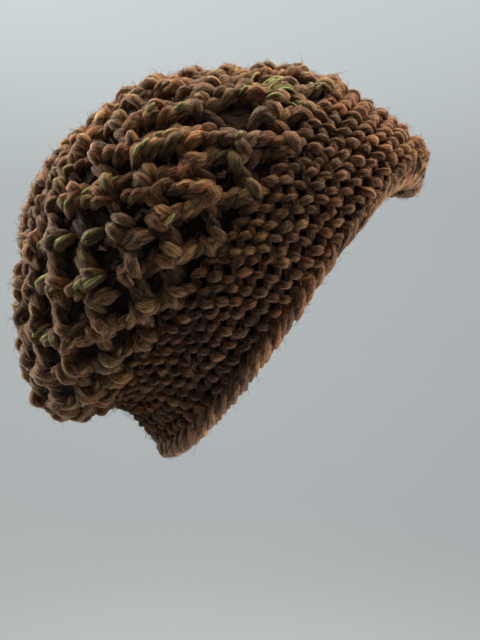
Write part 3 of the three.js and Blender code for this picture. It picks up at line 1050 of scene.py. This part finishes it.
def band_wall_heights(row, turn):
    """The heights of the band's wall outside and inside, where each round is a rib."""
    rib = np.cos(TURN * (row - EDGING_TOP) / BAND_ROUND_HEIGHT)
    bars = np.cos(TURN * turn * BAND_STITCHES)
    return -3.3 + 0.3 * rib, -6.0 + 0.7 * rib * (0.5 + 0.5 * bars)


def nowhere(row, turn):
    """False for every cell, for a wall that isn't cut through."""
    return np.zeros(row.shape, dtype=bool)


def add_band(material, shaded_copy_material):
    """Rounds of small stitches in two pieces, their fuzz, and the wall behind them."""
    rng = np.random.default_rng(1)
    groups = []
    for course in range(BAND_ROUNDS):
        turn = (np.arange(BAND_STITCHES) + 0.5 * (course % 2)) / BAND_STITCHES
        row = np.full(BAND_STITCHES, EDGING_TOP + (course + 0.5) * BAND_ROUND_HEIGHT)
        row = row + BAND_ROW_WANDER * wander(row, turn, 11)
        turn = turn + BAND_TURN_WANDER * wander(row, turn, 12)
        for leg in BAND_LEGS:
            groups.append(stitch_legs(row, turn, BAND_ROUND_HEIGHT, BAND_STITCHES, rng=rng, **leg))
    lower = BAND_ROUNDS // 2 * len(BAND_LEGS)
    fibres = [loose_fibres(groups, BAND_FIBRES, rng)]
    pieces = (("band_fibres", fibres, 14), ("band_stitches_lower", groups[:lower], 2),
              ("band_stitches_upper", groups[lower:], 3))
    for name, strands, seed in pieces:
        yarn_piece(name, strands, seed, material, "band")
    rows = np.linspace(0.05, BAND_TOP + 0.12, BAND_ROUNDS * 4 + 1)
    columns = BAND_STITCHES * 4
    wall_piece("band_wall", rows, columns, band_wall_heights, nowhere, shaded_copy_material, "band")


# The crown

# The rounds of pockets that are cut through, and half a pocket's size in shares of its cell.
POCKET_ROUNDS = (1, 7)
POCKET_HALF_HEIGHT = 0.42
POCKET_HALF_WIDTH = 0.22

GATHERED_HEIGHT = 0.51
GATHERED_ROUNDS = (
    {"row": 9.66, "stitches": 30},
    {"row": 10.17, "stitches": 23},
    {"row": 10.68, "stitches": 16},
)
STITCH_RADIUS = 0.36
CROWN_FIBRES = 12000
CROWN_WALL_ROWS = 71
CROWN_WALL_COLUMNS = 216
CROWN_WALL_BARS = 72


def is_pocket(row, turn):
    """True in the pockets of the crown's net that are cut through."""
    climb = (row - BAND_TOP) / NET_HEIGHT
    nearest = 2 * np.round((climb - 1) / 2) + 1
    pockets = np.where(nearest < NETS[1]["from"], NETS[0]["ropes"], NETS[1]["ropes"])
    up = (climb - nearest) / POCKET_HALF_HEIGHT
    across = ((turn * pockets + 0.5) % 1 - 0.5) / POCKET_HALF_WIDTH
    lowest, highest = POCKET_ROUNDS
    return (np.hypot(up, across) < 1) & (nearest >= lowest) & (nearest <= highest)


def crown_wall_heights(row, turn):
    """The heights of the crown's wall outside and inside."""
    relief = np.cos(TURN * (row - BAND_TOP) / NET_HEIGHT) * np.cos(TURN * turn * CROWN_WALL_BARS)
    return -4.2 + 0.5 * relief, -6.0 + 0.5 * relief


def stitch_pair(row, turn, round_height, stitches, height, step, rng):
    """Both legs of stitches, step below and above a height, the one that leans back on top."""
    return [stitch_legs(row, turn, round_height, stitches, lean, height - step * lean, STITCH_RADIUS, rng)
            for lean in (1, -1)]


def gathered_legs(rng):
    """The legs of the rounds that draw the crown together."""
    groups = []
    for ring in GATHERED_ROUNDS:
        count = ring["stitches"]
        row = np.full(count, ring["row"] + GATHERED_HEIGHT / 2)
        groups += stitch_pair(row, np.arange(count) / count, GATHERED_HEIGHT, count, 0.2, 0.5, rng)
    return groups


def add_crown(material, shaded_copy_material):
    """The net's ropes, knots and webs, the ridges, the gathered rounds, green plies, fuzz and the wall."""
    rng = np.random.default_rng(4)
    back, forward = ([rope_leaves(net, lean, rng) for net in NETS] for lean in (-1, 1))
    knots = [group for net in NETS for group in knot_leaves(net, rng)]
    webs = []
    for kind in (CLOSED_WEBS, OPEN_WEBS):
        webs += [group for net in NETS for group in web_leaves(net, rng=rng, **kind)]
    webs += [crossing_leaves(net, rng) for net in NETS]
    ridges = [ridge_leaves(rng)]
    gathered = gathered_legs(rng)
    green = [green_plies(back + ridges, rng), green_arches(back + ridges + knots, rng)]
    fibres = [loose_fibres(back + forward + knots + gathered + ridges, CROWN_FIBRES, rng)]
    pieces = (
        ("crown_ropes_over", back, 4, material),
        ("crown_ropes_under", forward, 6, material),
        ("crown_ridges", ridges, 18, material),
        ("crown_knots", knots, 7, material),
        ("crown_webs", webs, 19, shaded_copy_material),
        ("crown_gathered_stitches", gathered, 8, material),
        ("crown_green_plies", green, 15, material),
        ("crown_fibres", fibres, 16, material),
    )
    for name, strands, seed, finish in pieces:
        yarn_piece(name, strands, seed, finish, "crown")
    rows = np.linspace(BAND_TOP - 0.05, CROWN_TOP + 0.05, CROWN_WALL_ROWS)
    wall_piece("crown_wall", rows, CROWN_WALL_COLUMNS, crown_wall_heights, is_pocket, shaded_copy_material,
               "crown")


# The closed centre of the crown

CENTRE_STITCHES = 11
CENTRE_ROW = 11.42
CENTRE_HEIGHT = 0.62
CENTRE_WALL_HEIGHTS = (-2, -6)


def add_crown_centre(material, shaded_copy_material):
    """The rosette's stitches and the wall behind them, with the starting ring's hole."""
    rng = np.random.default_rng(9)
    turn = np.arange(CENTRE_STITCHES) / CENTRE_STITCHES
    row = np.full(CENTRE_STITCHES, CENTRE_ROW)
    groups = stitch_pair(row, turn, CENTRE_HEIGHT, CENTRE_STITCHES, 0.3, 0.4, rng)
    yarn_piece("crown_centre_stitches", groups, 10, material, "crown_centre")
    rows = np.linspace(CROWN_TOP + 0.03, STARTING_RING, 7)
    wall_piece("crown_centre_wall", rows, 36, lambda row, turn: CENTRE_WALL_HEIGHTS, nowhere, shaded_copy_material,
               "crown_centre")


# The stage

CAMERA_PLACE = (-0.028, -0.350, 0.048)
CAMERA_PITCH = 8
CAMERA_LENS = 32.06
SENSOR_WIDTH = 36
FLOOR_LEVEL = -0.5
FLOOR_COLOUR = (0.35, 0.36, 0.36)
FLOOR_ROUGHNESS = 0.9
FLOOR_CENTRE = 0.05
SWEEP_RADIUS = 1.3
SWEEP_BEND = 0.7
SWEEP_HEIGHT = 2.2
SWEEP_COLUMNS = 96
BEND_STEPS = 13
WORLD_COLOUR = (0.82, 0.87, 0.9, 1)
WORLD_STRENGTH = 0.12

# Each light's name, place, target, size, spread in degrees, watts and colour.
LIGHTS = (
    ("overhead", (-0.02, 0.02, 0.5), (-0.02, 0, 0.06), 0.5, 70, 0.95, (1, 0.83, 0.62)),
    ("left", (-0.6, 0.12, 0.2), (-0.05, 0, 0.03), 0.65, 65, 3.0, (0.86, 0.95, 1)),
    ("right", (0.55, 0.08, 0.32), (0.05, 0, 0.08), 0.65, 65, 1.95, (1, 0.9, 0.76)),
    ("below", (0.3, -0.06, -0.28), (0, 0, 0), 0.25, 60, 0.28, (1, 0.98, 0.96)),
    ("backdrop_left", (-0.4, 0.25, 1.0), (-0.45, 1.2, -0.05), 0.8, 180, 17, (0.95, 0.99, 1)),
    ("backdrop_right", (0.4, 0.25, 1.0), (0.45, 1.2, -0.05), 0.8, 180, 12, (0.95, 0.99, 1)),
)


def add_stage():
    """A pale round sweep: a flat floor that curves up into a wall all round."""
    bend = np.linspace(0, math.pi / 2, BEND_STEPS)
    bend_radius = SWEEP_RADIUS - SWEEP_BEND * (1 - np.sin(bend))
    bend_height = SWEEP_BEND * (1 - np.cos(bend))
    radius = np.concatenate(([FLOOR_CENTRE], bend_radius, [SWEEP_RADIUS]))
    height = FLOOR_LEVEL + np.concatenate(([0], bend_height, [SWEEP_HEIGHT]))
    angle = np.linspace(0, TURN, SWEEP_COLUMNS, endpoint=False)[:, None]
    places = np.broadcast_arrays(radius * np.cos(angle), radius * np.sin(angle), height)
    vertices = np.stack(places, axis=-1)
    rings = len(radius)
    faces = [[column * rings for column in range(SWEEP_COLUMNS)]]
    for column in range(SWEEP_COLUMNS):
        after = (column + 1) % SWEEP_COLUMNS
        for ring in range(rings - 1):
            here = column * rings + ring
            there = after * rings + ring
            faces.append((here, here + 1, there + 1, there))
    mesh = bpy.data.meshes.new("sweep")
    mesh.from_pydata(vertices.reshape(-1, 3).tolist(), [], faces)
    mesh.polygons.foreach_set("use_smooth", [True] * len(faces))
    sweep = bpy.data.objects.new("sweep", mesh)
    sweep.data.materials.append(plain_material("pale_floor", FLOOR_COLOUR, FLOOR_ROUGHNESS))
    bpy.context.scene.collection.objects.link(sweep)


def add_light(name, place, target, size, spread, watts, colour):
    """A soft round light at a place that shines at its target."""
    data = bpy.data.lights.new(name, "AREA")
    data.shape = "DISK"
    data.size = size
    data.spread = math.radians(spread)
    data.energy = watts
    data.color = colour
    light = bpy.data.objects.new(name, data)
    light.location = place
    direction = np.array(target) - np.array(place)
    yaw = math.atan2(direction[1], direction[0]) - math.pi / 2
    pitch = math.atan2(direction[2], math.hypot(direction[0], direction[1])) + math.pi / 2
    light.rotation_euler = (pitch, 0, yaw)
    light.visible_camera = False
    bpy.context.scene.collection.objects.link(light)


def add_lights():
    """The weak light from all round and the studio's lights."""
    world = bpy.data.worlds.new("studio")
    world.use_nodes = True
    background = world.node_tree.nodes["Background"]
    background.inputs["Color"].default_value = WORLD_COLOUR
    background.inputs["Strength"].default_value = WORLD_STRENGTH
    bpy.context.scene.world = world
    for light in LIGHTS:
        add_light(*light)


def add_camera():
    """The camera, level with the hat's right side and pitched slightly down."""
    data = bpy.data.cameras.new("camera")
    data.lens = CAMERA_LENS
    data.sensor_width = SENSOR_WIDTH
    camera = bpy.data.objects.new("camera", data)
    camera.location = CAMERA_PLACE
    camera.rotation_euler = (math.radians(90 - CAMERA_PITCH), 0, 0)
    bpy.context.scene.collection.objects.link(camera)
    bpy.context.scene.camera = camera
    bpy.context.scene.view_settings.view_transform = "Standard"


add_camera()
add_stage()
add_lights()
yarn_group = variegated_yarn_group()
materials = {name: yarn_material(name, yarn_group, values, OPEN_FUZZ) for name, values in YARNS.items()}
# Shaded copies of the band's and the crown's yarn, with nearly no sheen, for walls and webs: painted shade.
band_shaded_copy = yarn_material("band_yarn_shaded_copy_between_stitches", yarn_group, YARNS["band_yarn"], SHADED_COPY_FUZZ)
crown_shaded_copy = yarn_material("crown_yarn_shaded_copy_between_stitches", yarn_group, YARNS["crown_yarn"], SHADED_COPY_FUZZ)
add_edging(materials["edging_yarn"])
add_band(materials["band_yarn"], band_shaded_copy)
add_crown(materials["crown_yarn"], crown_shaded_copy)
add_crown_centre(materials["crown_yarn"], crown_shaded_copy)
